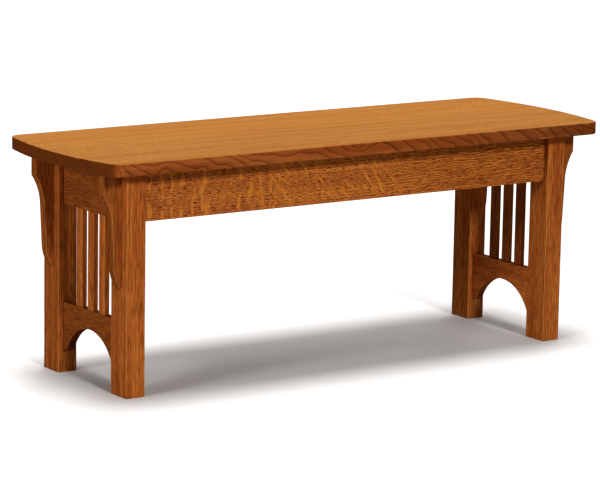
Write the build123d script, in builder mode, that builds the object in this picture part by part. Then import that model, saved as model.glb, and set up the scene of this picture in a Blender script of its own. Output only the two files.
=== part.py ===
# Backless mission bench in oak, with slatted ends, arched bottom rails and corbels.
#
# X runs along the seat, Y from front to back, with the front at -Y, and Z up from the floor.
# The origin is on the floor under the middle of the seat. All sizes are in millimetres.
# What comes in twos and fours is modelled at the front left and mirrored.
from build123d import *

import os

# Seat: boards glued edge to edge, with bowed ends, round corners and eased edges
seat_length = 1193.8
seat_depth = 406.4
seat_height = 457.2
seat_thickness = 25.4
seat_end_bow = 27.0
seat_end_overhang = 76.2
seat_side_overhang = 47.2
seat_corner_radius = 25.0
seat_edge_round = 2.5
seat_board_count = 4

# Legs
leg_width = 41.0
leg_thickness = 57.0
leg_edge_round = 1.5
foot_chamfer = 1.0

# Aprons, the long rails under the seat at front and back
apron_height = 98.4
apron_thickness = 19.0
apron_setback = 12.0

# End rails, from the front leg to the back leg at each end
rail_thickness = 19.0
rail_setback = 11.0
top_rail_height = 98.4
bottom_rail_height = 94.0
bottom_rail_clearance = 46.0
arch_foot = 12.0
arch_rise = 57.0

# Easing of the long edges of aprons and rails
rail_edge_round = 1.0

# Slats, three in each end
slat_width = 22.0
slat_thickness = 10.5
slat_pitch = 42.0
slat_setback = 2.5
slat_chamfer = 0.8

# Mortises and tenons
tenon_thickness = 9.0
tenon_shoulder = 10.0
tenon_end_wall = 16.0
tenon_side_wall = 6.0
slat_tenon_width = 14.0
slat_tenon_thickness = 6.0
slat_tenon_length = 12.0
joint_play = 0.2
glue_space = 1.5

# Corbels, the shaped brackets on the legs' outer faces
corbel_thickness = 19.0
corbel_reach = 39.3
corbel_straight = 43.8
corbel_waist_reach = 20.5
corbel_waist_drop = 100.0
corbel_nose_reach = 16.6
corbel_nose_drop = 182.0
corbel_length = 226.8
corbel_chamfer = 0.8

# Dowels between corbels and legs
dowel_diameter = 8.0
dowel_leg_depth = 10.0
dowel_corbel_depth = 12.0
dowel_upper_drop = 26.0
dowel_lower_drop = 142.0
dowel_play = 0.1

# Cross rail under the middle of the seat
cross_rail_thickness = 22.0
cross_rail_height = 60.0
cross_tenon_drop = 22.0
cross_tenon_height = 30.0
cross_tenon_length = 10.0
cross_screw_spacing = 120.0
cross_counterbore = 30.0

# Blocks in the frame's corners
block_run = 60.0
block_height = 45.0
block_drop = 6.0
block_heel = 8.0
block_screw_wood = 18.0
block_screw_share = 0.6

# Wooden buttons that hold the seat down and let it move across the grain
button_count = 4
button_end_gap = 59.7
button_width = 25.0
button_length = 30.0
button_thickness = 18.0
button_gap = 1.0
button_tongue_thickness = 6.0
button_tongue_length = 7.0
button_screw_inset = 14.0
groove_width = 6.5
groove_depth = 8.0

# Pan-head wood screws, with how deep they bite into the piece behind
screw_shank_diameter = 4.0
screw_head_diameter = 8.0
screw_head_height = 2.4
screw_bite = 12.0
screw_play = 0.15
screw_counterbore_diameter = 10.0

# Overrun of cuts that come out through a face
overrun = 5.0

# Places in the front left corner, worked out from the sizes
seat_bottom = seat_height - seat_thickness
leg_outer_x = seat_end_overhang - seat_length / 2
leg_inner_x = leg_outer_x + leg_width
leg_mid_x = leg_outer_x + leg_width / 2
leg_outer_y = seat_side_overhang - seat_depth / 2
leg_inner_y = leg_outer_y + leg_thickness
leg_mid_y = leg_outer_y + leg_thickness / 2
apron_bottom = seat_bottom - apron_height
apron_mid_y = leg_outer_y + apron_setback + apron_thickness / 2
apron_inner_y = leg_outer_y + apron_setback + apron_thickness
rail_mid_x = leg_outer_x + rail_setback + rail_thickness / 2
rail_inner_x = leg_outer_x + rail_setback + rail_thickness
top_rail_bottom = seat_bottom - top_rail_height
bottom_rail_top = bottom_rail_clearance + bottom_rail_height
arch_end_y = -leg_inner_y - arch_foot
slat_mid_x = leg_outer_x + rail_setback + slat_setback + slat_thickness / 2
block_mid_z = seat_bottom - block_drop - block_height / 2
groove_top = seat_bottom - button_thickness + button_tongue_thickness
button_face_y = apron_inner_y + button_gap
button_screw_y = button_face_y + button_screw_inset

# Tenons end short of the leg's far face, and those of the end rails short of the apron's
apron_tenon_length = leg_width - tenon_end_wall
rail_tenon_length = leg_inner_y - apron_mid_y - tenon_thickness / 2 - tenon_side_wall
apron_tenon_height = apron_height - 2 * tenon_shoulder
top_tenon_height = top_rail_height - 2 * tenon_shoulder
bottom_tenon_height = bottom_rail_height - 2 * tenon_shoulder

# Joint faces, each with its origin at the middle of the tenon, z along it and local y upward
apron_joint = Plane(
    origin=(leg_inner_x, apron_mid_y, apron_bottom + apron_height / 2),
    x_dir=(0, -1, 0),
    z_dir=(-1, 0, 0),
)
top_rail_joint = Plane(
    origin=(rail_mid_x, leg_inner_y, top_rail_bottom + top_rail_height / 2),
    x_dir=(1, 0, 0),
    z_dir=(0, -1, 0),
)
bottom_rail_joint = Plane(
    origin=(rail_mid_x, leg_inner_y, bottom_rail_clearance + bottom_rail_height / 2),
    x_dir=(1, 0, 0),
    z_dir=(0, -1, 0),
)
cross_rail_joint = Plane(
    origin=(0, apron_inner_y, seat_bottom - cross_tenon_drop - cross_tenon_height / 2),
    x_dir=(1, 0, 0),
    z_dir=(0, -1, 0),
)

# Dowel holes open on the leg's outer face, where the corbel seats
dowel_joints = [
    Plane(origin=(leg_outer_x, leg_mid_y, seat_bottom - drop), z_dir=(-1, 0, 0))
    for drop in (dowel_upper_drop, dowel_lower_drop)
]

# Corner block: its long face runs at 45 degrees, from the heel on the apron to that on the rail
block_apron_end_x = leg_inner_x + block_run
block_rail_end_y = apron_inner_y + block_apron_end_x - rail_inner_x
block_rail_run = block_rail_end_y - leg_inner_y
block_screw_x = leg_inner_x + block_run * block_screw_share
block_screw_y = leg_inner_y + block_rail_run * block_screw_share
block_apron_screws = [
    Plane(origin=(x, apron_inner_y + block_screw_wood, block_mid_z), z_dir=(0, -1, 0))
    for x in (block_screw_x, -block_screw_x)
]
block_rail_screws = [
    Plane(origin=(rail_inner_x + block_screw_wood, y, block_mid_z), z_dir=(-1, 0, 0))
    for y in (block_screw_y, -block_screw_y)
]

# Spacing of the seat buttons, which are shared out between the blocks
button_pitch = -2 * (block_apron_end_x + button_end_gap) / (button_count - 1)

# Screw lengths, each the wood under its head and the bite behind it
block_screw_length = block_screw_wood + screw_bite
button_screw_length = button_thickness + screw_bite
cross_screw_length = cross_rail_height - cross_counterbore + screw_bite
cross_screw_z = seat_bottom - cross_rail_height + cross_counterbore

# The four corners, two ends and two sides, with the mirrors that lead there from the front left
corners = {
    "front_left": [],
    "front_right": [Plane.YZ],
    "back_left": [Plane.XZ],
    "back_right": [Plane.YZ, Plane.XZ],
}
ends = {"left": [], "right": [Plane.YZ]}
sides = {"front": [], "back": [Plane.XZ]}
slat_rows = {"front": -1, "middle": 0, "back": 1}

# Which side of the place that is set a bar or a rod lies on
ABOVE = (Align.CENTER, Align.CENTER, Align.MIN)
BELOW = (Align.CENTER, Align.CENTER, Align.MAX)


def mirrored(piece, planes):
    """The piece, reflected in each plane in turn."""
    for plane in planes:
        with BuildPart() as reflection:
            mirror(piece, about=plane)
        piece = reflection.part
    return piece


def save(piece, name):
    """Label a finished piece and write it under its name."""
    piece.label = name
    export_step(piece, f"parts/{name}.step")


def prism(plane, width, height, length, mode=Mode.ADD):
    """A square-edged bar along the plane's normal, added to the piece being built or cut from it."""
    with BuildSketch(plane) as section:
        Rectangle(width, height)
    extrude(section.sketch, amount=length, mode=mode)


def tenon(joint, height, length):
    """A tenon on the piece being built."""
    prism(joint, tenon_thickness, height, length)


def mortise(joint, height, length):
    """The hole for that tenon, with play at its cheeks and room for glue at its end."""
    play = 2 * joint_play
    prism(joint, tenon_thickness + play, height + play, length + glue_space, Mode.SUBTRACT)


def screw(length):
    """A screw at each place that is set, seated at the origin and driven along +Z."""
    Cylinder(screw_head_diameter / 2, screw_head_height, align=BELOW)
    Cylinder(screw_shank_diameter / 2, length, align=ABOVE)


def screw_holes(length, way_in=0):
    """Cut the holes for those screws, with a counterbore behind each head where it needs a way in."""
    radius = screw_shank_diameter / 2 + screw_play
    Cylinder(radius, length + screw_play, align=ABOVE, mode=Mode.SUBTRACT)
    if way_in:
        Cylinder(screw_counterbore_diameter / 2, way_in, align=BELOW, mode=Mode.SUBTRACT)


def dowel(play=0, mode=Mode.ADD):
    """A dowel across each joint face that is set, or its hole, which has play."""
    radius = dowel_diameter / 2 + play
    Cylinder(radius, dowel_leg_depth + play, align=BELOW, mode=mode)
    Cylinder(radius, dowel_corbel_depth + play, align=ABOVE, mode=mode)


def slat_mortises(plane):
    """Cut the slats' mortises into a rail, down from the plane."""
    play = 2 * joint_play
    with BuildSketch(plane) as sections:
        with GridLocations(0, slat_pitch, 1, len(slat_rows)):
            Rectangle(slat_tenon_thickness + play, slat_tenon_width + play)
    extrude(sections.sketch, amount=-slat_tenon_length - glue_space, mode=Mode.SUBTRACT)


# Seat: one slab with all its screw holes, then sawn apart into its boards
with BuildPart() as seat:
    corner_x = seat_length / 2 - seat_end_bow
    with BuildSketch(Plane.XY.offset(seat_bottom)) as seat_outline:
        with BuildLine():
            front_edge = Line((-corner_x, -seat_depth / 2), (corner_x, -seat_depth / 2))
            right_end = ThreePointArc(
                front_edge @ 1,
                (seat_length / 2, 0),
                (corner_x, seat_depth / 2),
            )
            back_edge = Line(right_end @ 1, (-corner_x, seat_depth / 2))
            ThreePointArc(back_edge @ 1, (-seat_length / 2, 0), front_edge @ 0)
        make_face()
        fillet(seat_outline.vertices(), seat_corner_radius)
    extrude(amount=seat_thickness)
    fillet(seat.faces().filter_by(Axis.Z).edges(), seat_edge_round)
    with Locations((0, 0, seat_bottom - button_thickness)):
        with GridLocations(button_pitch, -2 * button_screw_y, button_count, 2):
            screw_holes(button_screw_length)
    with Locations((0, 0, cross_screw_z)):
        with GridLocations(0, cross_screw_spacing, 1, 2):
            screw_holes(cross_screw_length)

board_width = seat_depth / seat_board_count
seat_boards = []
for number in range(seat_board_count):
    with BuildPart() as board:
        add(seat.part)
        with Locations((0, -seat_depth / 2 + number * board_width, seat_bottom - overrun)):
            Box(
                seat_length + 2 * overrun,
                board_width,
                seat_thickness + 2 * overrun,
                align=(Align.CENTER, Align.MIN, Align.MIN),
                mode=Mode.INTERSECT,
            )
    seat_boards.append(board.part)

# Leg, with mortises for the apron and both end rails, and holes for the corbel's dowels
with BuildPart() as leg:
    with BuildSketch():
        with Locations((leg_mid_x, leg_mid_y)):
            Rectangle(leg_width, leg_thickness)
    extrude(amount=seat_bottom)
    fillet(leg.edges().filter_by(Axis.Z), leg_edge_round)
    chamfer(leg.faces().sort_by(Axis.Z)[0].edges(), foot_chamfer)
    mortise(apron_joint, apron_tenon_height, apron_tenon_length)
    mortise(top_rail_joint, top_tenon_height, rail_tenon_length)
    mortise(bottom_rail_joint, bottom_tenon_height, rail_tenon_length)
    with Locations(*dowel_joints):
        dowel(dowel_play, Mode.SUBTRACT)

# Apron, grooved inside for the buttons' tongues and mortised for the cross rail
with BuildPart() as apron:
    with BuildSketch(Plane.XY.offset(apron_bottom)):
        with Locations((0, apron_mid_y)):
            Rectangle(-2 * leg_inner_x, apron_thickness)
    extrude(amount=apron_height)
    fillet(apron.faces().sort_by(Axis.Z)[0].edges().filter_by(Axis.X), rail_edge_round)
    tenon(apron_joint, apron_tenon_height, apron_tenon_length)
    mirror(about=Plane.YZ)
    with Locations((0, apron_inner_y, groove_top)):
        Box(
            -2 * leg_inner_x,
            2 * groove_depth,
            groove_width,
            align=(Align.CENTER, Align.CENTER, Align.MAX),
            mode=Mode.SUBTRACT,
        )
    mortise(cross_rail_joint, cross_tenon_height, cross_tenon_length)
    with Locations(*block_apron_screws):
        screw_holes(block_screw_length)

# Top end rail, mortised underneath for the slats
with BuildPart() as top_rail:
    with BuildSketch(Plane.XY.offset(top_rail_bottom)):
        with Locations((rail_mid_x, 0)):
            Rectangle(rail_thickness, -2 * leg_inner_y)
    extrude(amount=top_rail_height)
    fillet(top_rail.faces().sort_by(Axis.Z)[0].edges().filter_by(Axis.Y), rail_edge_round)
    tenon(top_rail_joint, top_tenon_height, rail_tenon_length)
    mirror(about=Plane.XZ)
    slat_mortises(Plane(origin=(slat_mid_x, 0, top_rail_bottom), z_dir=(0, 0, -1)))
    with Locations(*block_rail_screws):
        screw_holes(block_screw_length)

# Bottom end rail, with an arch cut into its lower edge and mortises on top for the slats
with BuildPart() as bottom_rail:
    with BuildSketch(Plane.YZ.offset(rail_mid_x - rail_thickness / 2)):
        with BuildLine():
            arch = ThreePointArc(
                (-arch_end_y, bottom_rail_clearance),
                (0, bottom_rail_clearance + arch_rise),
                (arch_end_y, bottom_rail_clearance),
            )
            Polyline(
                arch @ 1,
                (-leg_inner_y, bottom_rail_clearance),
                (-leg_inner_y, bottom_rail_top),
                (leg_inner_y, bottom_rail_top),
                (leg_inner_y, bottom_rail_clearance),
                arch @ 0,
            )
        make_face()
    extrude(amount=rail_thickness)
    chamfer(bottom_rail.edges().filter_by(GeomType.CIRCLE), rail_edge_round)
    fillet(bottom_rail.faces().sort_by(Axis.Z)[-1].edges().filter_by(Axis.Y), rail_edge_round)
    tenon(bottom_rail_joint, bottom_tenon_height, rail_tenon_length)
    mirror(about=Plane.XZ)
    slat_mortises(Plane(origin=(slat_mid_x, 0, bottom_rail_top), z_dir=(0, 0, 1)))

# Slats, with a stub tenon at each end
slats = {}
for place, row in slat_rows.items():
    with BuildPart() as slat:
        with BuildSketch(Plane.XY.offset(bottom_rail_top)):
            with Locations((slat_mid_x, row * slat_pitch)):
                Rectangle(slat_thickness, slat_width)
        extrude(amount=top_rail_bottom - bottom_rail_top)
        chamfer(slat.edges().filter_by(Axis.Z), slat_chamfer)
        with BuildSketch(Plane.XY.offset(bottom_rail_top - slat_tenon_length)):
            with Locations((slat_mid_x, row * slat_pitch)):
                Rectangle(slat_tenon_thickness, slat_tenon_width)
        extrude(amount=top_rail_bottom - bottom_rail_top + 2 * slat_tenon_length)
    slats[place] = slat.part

# Corbel: straight below the seat, swept in to a slim waist, with a nose that dies into the leg
with BuildPart() as corbel:
    with BuildSketch(Plane.XZ.offset(-leg_mid_y - corbel_thickness / 2)):
        with BuildLine():
            shoulder = (leg_outer_x - corbel_reach, seat_bottom - corbel_straight)
            waist = (leg_outer_x - corbel_waist_reach, seat_bottom - corbel_waist_drop)
            nose = (leg_outer_x - corbel_nose_reach, seat_bottom - corbel_nose_drop)
            tip = (leg_outer_x, seat_bottom - corbel_length)
            Polyline(
                tip,
                (leg_outer_x, seat_bottom),
                (leg_outer_x - corbel_reach, seat_bottom),
                shoulder,
            )
            slope = Line(nose, waist)
            TangentArc(waist, shoulder, tangent=slope % 1)
            TangentArc(nose, tip, tangent=-(slope % 0))
        make_face()
    extrude(amount=corbel_thickness)
    for cheek in corbel.faces().filter_by(Axis.Y):
        chamfer(cheek.edges().sort_by(Axis.X)[:-1].sort_by(Axis.Z)[:-1], corbel_chamfer)
    with Locations(*dowel_joints):
        dowel(dowel_play, Mode.SUBTRACT)

with BuildPart() as corbel_dowels:
    with Locations(*dowel_joints):
        dowel()
    mirror(about=Plane.YZ)
    mirror(about=Plane.XZ)

# Corner block, notched round the leg and screwed to the apron and the end rail
with BuildPart() as corner_block:
    with BuildSketch(Plane.XY.offset(block_mid_z - block_height / 2)):
        with BuildLine():
            Polyline(
                (leg_inner_x, leg_inner_y),
                (leg_inner_x, apron_inner_y),
                (block_apron_end_x, apron_inner_y),
                (block_apron_end_x, apron_inner_y + block_heel),
                (rail_inner_x + block_heel, block_rail_end_y),
                (rail_inner_x, block_rail_end_y),
                (rail_inner_x, leg_inner_y),
                close=True,
            )
        make_face()
    extrude(amount=block_height)
    with Locations(block_apron_screws[0], block_rail_screws[0]):
        screw_holes(block_screw_length, block_run)

with BuildPart() as block_screws:
    with Locations(block_apron_screws[0], block_rail_screws[0]):
        screw(block_screw_length)
    mirror(about=Plane.YZ)
    mirror(about=Plane.XZ)

# Cross rail, tenoned into both aprons and screwed up into the seat
with BuildPart() as cross_rail:
    with BuildSketch(Plane.XY.offset(seat_bottom - cross_rail_height)):
        Rectangle(cross_rail_thickness, -2 * apron_inner_y)
    extrude(amount=cross_rail_height)
    fillet(cross_rail.faces().sort_by(Axis.Z)[0].edges().filter_by(Axis.Y), rail_edge_round)
    tenon(cross_rail_joint, cross_tenon_height, cross_tenon_length)
    mirror(about=Plane.XZ)
    with Locations((0, 0, cross_screw_z)):
        with GridLocations(0, cross_screw_spacing, 1, 2):
            screw_holes(cross_screw_length, cross_counterbore + overrun)

with BuildPart() as cross_rail_screws:
    with Locations((0, 0, cross_screw_z)):
        with GridLocations(0, cross_screw_spacing, 1, 2):
            screw(cross_screw_length)

# Seat buttons: each tongue hooks under the groove's upper side
with BuildPart() as seat_buttons:
    with Locations((0, button_face_y, seat_bottom)):
        with GridLocations(button_pitch, 0, button_count, 1):
            Box(
                button_width,
                button_length,
                button_thickness,
                align=(Align.CENTER, Align.MIN, Align.MAX),
            )
    with Locations((0, button_face_y, groove_top)):
        with GridLocations(button_pitch, 0, button_count, 1):
            Box(
                button_width,
                button_tongue_length,
                button_tongue_thickness,
                align=(Align.CENTER, Align.MAX, Align.MAX),
            )
    mirror(about=Plane.XZ)
    with Locations((0, 0, seat_bottom - button_thickness)):
        with GridLocations(button_pitch, -2 * button_screw_y, button_count, 2):
            screw_holes(button_screw_length)

with BuildPart() as button_screws:
    with Locations((0, 0, seat_bottom - button_thickness)):
        with GridLocations(button_pitch, -2 * button_screw_y, button_count, 2):
            screw(button_screw_length)

# Write every piece, the mirrored ones once for each place
os.makedirs("parts", exist_ok=True)
for number, board in enumerate(seat_boards, start=1):
    save(board, f"seat_board_{number}")
for corner, planes in corners.items():
    save(mirrored(leg.part, planes), f"leg_{corner}")
    save(mirrored(corbel.part, planes), f"corbel_{corner}")
    save(mirrored(corner_block.part, planes), f"corner_block_{corner}")
for side, planes in sides.items():
    save(mirrored(apron.part, planes), f"apron_{side}")
for end, planes in ends.items():
    save(mirrored(top_rail.part, planes), f"end_rail_top_{end}")
    save(mirrored(bottom_rail.part, planes), f"end_rail_bottom_{end}")
    for place, slat_part in slats.items():
        save(mirrored(slat_part, planes), f"slat_{end}_{place}")
save(cross_rail.part, "cross_rail")
save(seat_buttons.part, "seat_buttons")
save(button_screws.part, "button_screws")
save(block_screws.part, "block_screws")
save(cross_rail_screws.part, "cross_rail_screws")
save(corbel_dowels.part, "corbel_dowels")
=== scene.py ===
# %% [markdown]
# # A backless mission bench in stained oak
#
# The construction comes in as a fixed frame: every board, leg, rail and slat is already there at its
# real size, in metres, with the floor at z = 0, the seat's length along X and the front at -Y.
# This notebook gives those pieces their looks. It goes the way a finisher would: first the studio,
# then the wood and its stain, then each group of pieces in turn.

# %% Load the frame
import math

import bmesh
import bpy
from mathutils import Euler, Matrix, Vector


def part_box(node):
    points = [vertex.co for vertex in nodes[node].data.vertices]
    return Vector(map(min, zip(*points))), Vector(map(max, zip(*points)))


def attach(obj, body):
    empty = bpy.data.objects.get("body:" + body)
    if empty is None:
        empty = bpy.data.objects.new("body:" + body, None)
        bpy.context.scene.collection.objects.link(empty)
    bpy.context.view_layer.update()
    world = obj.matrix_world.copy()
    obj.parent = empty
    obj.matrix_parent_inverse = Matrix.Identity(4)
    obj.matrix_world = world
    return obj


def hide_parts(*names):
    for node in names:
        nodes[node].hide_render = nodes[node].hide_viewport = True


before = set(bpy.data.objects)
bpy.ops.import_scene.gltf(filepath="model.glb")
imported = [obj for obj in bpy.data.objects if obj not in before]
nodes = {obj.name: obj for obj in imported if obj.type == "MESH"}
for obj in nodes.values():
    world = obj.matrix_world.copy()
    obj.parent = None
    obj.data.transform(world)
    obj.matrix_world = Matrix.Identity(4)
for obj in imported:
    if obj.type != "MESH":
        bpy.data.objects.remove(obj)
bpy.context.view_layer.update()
mm = 0.001
print(len(nodes), "pieces in the frame")

# %% Helpers that every step uses
# Blender's names for the nodes and sockets that come up most, and a ramp with soft ends
MATH = "ShaderNodeMath"
VECTOR = "ShaderNodeVectorMath"
RANGE = "ShaderNodeMapRange"
NOISE = "ShaderNodeTexNoise"
SOFT = {"interpolation_type": "SMOOTHSTEP"}
NUMBER = "NodeSocketFloat"
POINT = "NodeSocketVector"


def linear(hex_colour):
    """An sRGB hex value as the linear colour that a shader socket takes."""
    shares = [int(hex_colour[place:place + 2], 16) / 255 for place in (1, 3, 5)]
    curve = [c / 12.92 if c <= 0.04045 else ((c + 0.055) / 1.055) ** 2.4 for c in shares]
    return (*curve, 1.0)


def shown(sockets, name):
    """The socket of that name among those that the node shows with its present settings."""
    return next(socket for socket in sockets if socket.enabled and socket.name == name)


def add(tree, kind, inputs=None, **settings):
    """Add a node: settings are its own options, inputs are values, sockets or other nodes.

    A node stands for the first output that it shows, and a list joins each of its items to one input.
    """
    made = tree.nodes.new(kind)
    for name, value in settings.items():
        setattr(made, name, value)
    for name, value in (inputs or {}).items():
        socket = shown(made.inputs, name) if isinstance(name, str) else made.inputs[name]
        for source in value if isinstance(value, list) else [value]:
            if isinstance(source, bpy.types.Node):
                source = next(output for output in source.outputs if output.enabled)
            if isinstance(source, bpy.types.NodeSocket):
                tree.links.new(source, socket)
            else:
                socket.default_value = source
    return made


def open_inputs(tree, kinds):
    """Give a tree its inputs, each by name and kind of socket, and return their identifiers."""
    return {
        label: tree.interface.new_socket(label, in_out="INPUT", socket_type=kind).identifier
        for label, kind in kinds.items()
    }


print("stain sample", [round(c, 3) for c in linear("#A55A23")])

# %% [markdown]
# ## The camera
#
# The bench is seen from its front left corner and from a little above, through a long lens, so that
# its parallel edges stay nearly parallel. The camera could be aimed with a constraint, but fixed
# angles keep the view exactly the same on every run.

# %% Camera
lens_length = 185.1
camera_place = Vector((-3.4443, -4.9928, 1.3758))
camera_turn = math.radians(34.42)
camera_tilt = math.radians(10.875)
camera_roll = math.radians(0.985)

camera_data = bpy.data.cameras.new("camera")
camera_data.lens = lens_length
camera = bpy.data.objects.new("camera", camera_data)
aim = Euler((math.pi / 2 - camera_tilt, 0, -camera_turn)).to_matrix()
aim = aim @ Matrix.Rotation(camera_roll, 3, "Z")
camera.matrix_world = Matrix.Translation(camera_place) @ aim.to_4x4()
bpy.context.scene.collection.objects.link(camera)
bpy.context.scene.camera = camera
bpy.context.scene.view_settings.view_transform = "Standard"
print("camera", round(camera_place.length, 2), "m from the bench")

# %% [markdown]
# ## Studio light
#
# A bench like this is photographed under a large softbox overhead, which draws the dark patch of
# shadow right under the seat. A second box stands low in front and shades the apron's upper edge, a
# third stands low on the left. Two weak ones at the back right, one high and one low, light the
# floor behind, the back and the right end. Area lamps would do, but a sun lamp with a wide angle
# lights a large floor evenly, and two angles place it.

# %% Lamps and world
softboxes = (
    # name, strength, then in degrees: height over the floor, turn from the front to the right, spread
    ("overhead_softbox", 2.38, 88, 180, 21),
    ("front_softbox", 1.42, 25, -4, 9),
    ("left_softbox", 1.12, 18, -78, 14),
    ("back_softbox", 0.45, 65, 130, 26),
    ("low_back_softbox", 0.6, 7, 135, 16),
)
world_strength = 0.02

for name, strength, height, turn, spread in softboxes:
    lamp_data = bpy.data.lights.new(name, "SUN")
    lamp_data.energy = strength
    lamp_data.angle = math.radians(spread)
    lamp = bpy.data.objects.new(name, lamp_data)
    lamp.rotation_euler = (math.radians(90 - height), 0, math.radians(turn))
    bpy.context.scene.collection.objects.link(lamp)

world = bpy.data.worlds.new("dim studio")
world.use_nodes = True
world.node_tree.nodes["Background"].inputs["Color"].default_value = linear("#F4F1EC")
world.node_tree.nodes["Background"].inputs["Strength"].default_value = world_strength
bpy.context.scene.world = world
print(len(softboxes), "soft lamps, total strength", round(sum(box[1] for box in softboxes), 2))

# %% [markdown]
# ## The floor
#
# The bench stands on white paper that runs on behind it. To the camera and in gloss the paper is
# white and takes the bench's shadow. To light that bounces off it, it is a mid grey, as paper is in
# a dark studio, or the underside of the bench would glow.

# %% Floor
floor_reach = 40.0

floor_mesh = bpy.data.meshes.new("floor")
floor_work = bmesh.new()
bmesh.ops.create_grid(floor_work, x_segments=1, y_segments=1, size=floor_reach)
floor_work.to_mesh(floor_mesh)
floor_work.free()
floor = bpy.data.objects.new("floor", floor_mesh)
bpy.context.scene.collection.objects.link(floor)

paper = bpy.data.materials.new("white studio paper")
paper.use_nodes = True
tree = paper.node_tree
tree.nodes.clear()
path = add(tree, "ShaderNodeLightPath").outputs
seen = add(tree, MATH, {0: path["Is Camera Ray"], 1: path["Is Glossy Ray"]}, operation="MAXIMUM")
seen = add(tree, MATH, {0: seen, 1: path["Is Transmission Ray"]}, operation="MAXIMUM")
white = add(tree, "ShaderNodeBsdfDiffuse", {"Color": linear("#FEFDFC")})
grey = add(tree, "ShaderNodeBsdfDiffuse", {"Color": linear("#8C8A88")})
mixed = add(tree, "ShaderNodeMixShader", {0: seen, 1: grey, 2: white})
add(tree, "ShaderNodeOutputMaterial", {"Surface": mixed})
floor_mesh.materials.append(paper)
print("floor", 2 * floor_reach, "m square")

# %% [markdown]
# ## What makes oak look like oak
#
# A board is a slice of a log, so its figure is a slice of something solid: growth rings round the
# pith, and rows of open pores in each ring's early wood. A picture wrapped round the board would
# show seams at its corners and wrong end grain. Worked out in three dimensions, the figure turns
# every corner by itself: lines along a face, arcs on an end, and eyes where a knot lifts the rings.
#
# The group below takes a place in the log, with X up the trunk and the pith along X, in metres.
# Each noise gets the place divided by a size, so that its pattern has that size.

# %% Oak figure, a shader group with sizes as inputs
oak_figure = bpy.data.node_groups.new("oak figure", "ShaderNodeTree")
open_inputs(oak_figure, {
    "Place": POINT,
    "Ring Width": NUMBER,
    "Line Width": NUMBER,
    "Wander": NUMBER,
    "Wander Size": POINT,
    "Knot Place": POINT,
    "Knot Size": POINT,
    "Knot Lift": NUMBER,
    "Lean Start": NUMBER,
    "Lean": NUMBER,
    "Pore Size": POINT,
    "Pores in Rings": NUMBER,
})
for label in ("Ring", "Line", "Pore", "Streak"):
    oak_figure.interface.new_socket(label, in_out="OUTPUT", socket_type=NUMBER)
tree = oak_figure
given = add(tree, "NodeGroupInput").outputs
print("oak figure has", len(oak_figure.interface.items_tree), "values in and out")

# %% Growth rings, lifted by a knot and by a lean
# A noise's colour is middle grey on average, and the lean sets in over a length of trunk
middle_grey = (0.5, 0.5, 0.5)
across_trunk = (0.0, 1.0, 1.0)
lean_bend = 100 * mm

# The rings wander a little up the trunk
drift = add(tree, VECTOR, {0: given["Place"], 1: given["Wander Size"]}, operation="DIVIDE")
drift = add(tree, NOISE, {"Vector": drift, "Scale": 1.0, "Detail": 2.0})
drift = add(tree, VECTOR, {0: drift.outputs["Color"], 1: middle_grey}, operation="SUBTRACT")
drift = add(tree, VECTOR, {0: drift, "Scale": given["Wander"]}, operation="SCALE")
bent = add(tree, VECTOR, {0: given["Place"], 1: drift}, operation="ADD")
cross = add(tree, VECTOR, {0: bent, 1: across_trunk}, operation="MULTIPLY")
radius = add(tree, VECTOR, {0: cross}, operation="LENGTH").outputs["Value"]

# A pin knot lifts the rings round it, and the trunk leans away from one place on
knot = add(tree, VECTOR, {0: given["Place"], 1: given["Knot Place"]}, operation="SUBTRACT")
knot = add(tree, VECTOR, {0: knot, 1: given["Knot Size"]}, operation="DIVIDE")
knot = add(tree, VECTOR, {0: knot, 1: knot}, operation="DOT_PRODUCT").outputs["Value"]
knot = add(tree, MATH, {0: knot, 1: -1.0}, operation="MULTIPLY")
knot = add(tree, MATH, {0: knot}, operation="EXPONENT")
lifted = add(tree, MATH, {0: knot, 1: given["Knot Lift"], 2: radius}, operation="MULTIPLY_ADD")
along = add(tree, "ShaderNodeSeparateXYZ", {0: given["Place"]})
past = add(tree, MATH, {0: along.outputs["X"], 1: given["Lean Start"]}, operation="SUBTRACT")
past = add(tree, MATH, {0: past, 1: 0.0, 2: lean_bend}, operation="SMOOTH_MAX")
lifted = add(tree, MATH, {0: past, 1: given["Lean"], 2: lifted}, operation="MULTIPLY_ADD")
print("rings take", len(tree.nodes), "nodes so far")

# %% Good and bad years, and the seasons in a ring
# Wide and narrow rings take turns about every five years, and shift by up to this many rings
spells_per_year = 0.21
spell_shift = 2.0
# Shares of one ring: the early wood fades out by the first, and the next ring's sets in from the second
early_end = 0.55
late_end = 0.88
half_ring = 0.5

years = add(tree, MATH, {0: lifted, 1: given["Ring Width"]}, operation="DIVIDE")
spell = add(tree, MATH, {0: years, 1: spells_per_year}, operation="MULTIPLY")
spell = add(tree, NOISE, {"W": spell, "Scale": 1.0, "Detail": 1.0}, noise_dimensions="1D")
years = add(tree, MATH, {0: spell, 1: spell_shift, 2: years}, operation="MULTIPLY_ADD")
season = add(tree, MATH, {0: years}, operation="FRACT")
spring = add(tree, RANGE, {"Value": season, "From Max": early_end, "To Min": 1.0, "To Max": 0.0}, **SOFT)
autumn = add(tree, RANGE, {"Value": season, "From Min": late_end, "From Max": 1.0}, **SOFT)
ring = add(tree, MATH, {0: spring, 1: autumn}, operation="MAXIMUM")

# The thin dark line where one year's growth stops
line = add(tree, MATH, {0: season, 1: half_ring}, operation="SUBTRACT")
line = add(tree, MATH, {0: line}, operation="ABSOLUTE")
line = add(tree, MATH, {0: half_ring, 1: line}, operation="SUBTRACT")
line = add(tree, RANGE, {
    "Value": line,
    "From Max": given["Line Width"],
    "To Min": 1.0,
    "To Max": 0.0,
}, **SOFT)
print("rings and seasons take", len(tree.nodes), "nodes so far")

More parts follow.
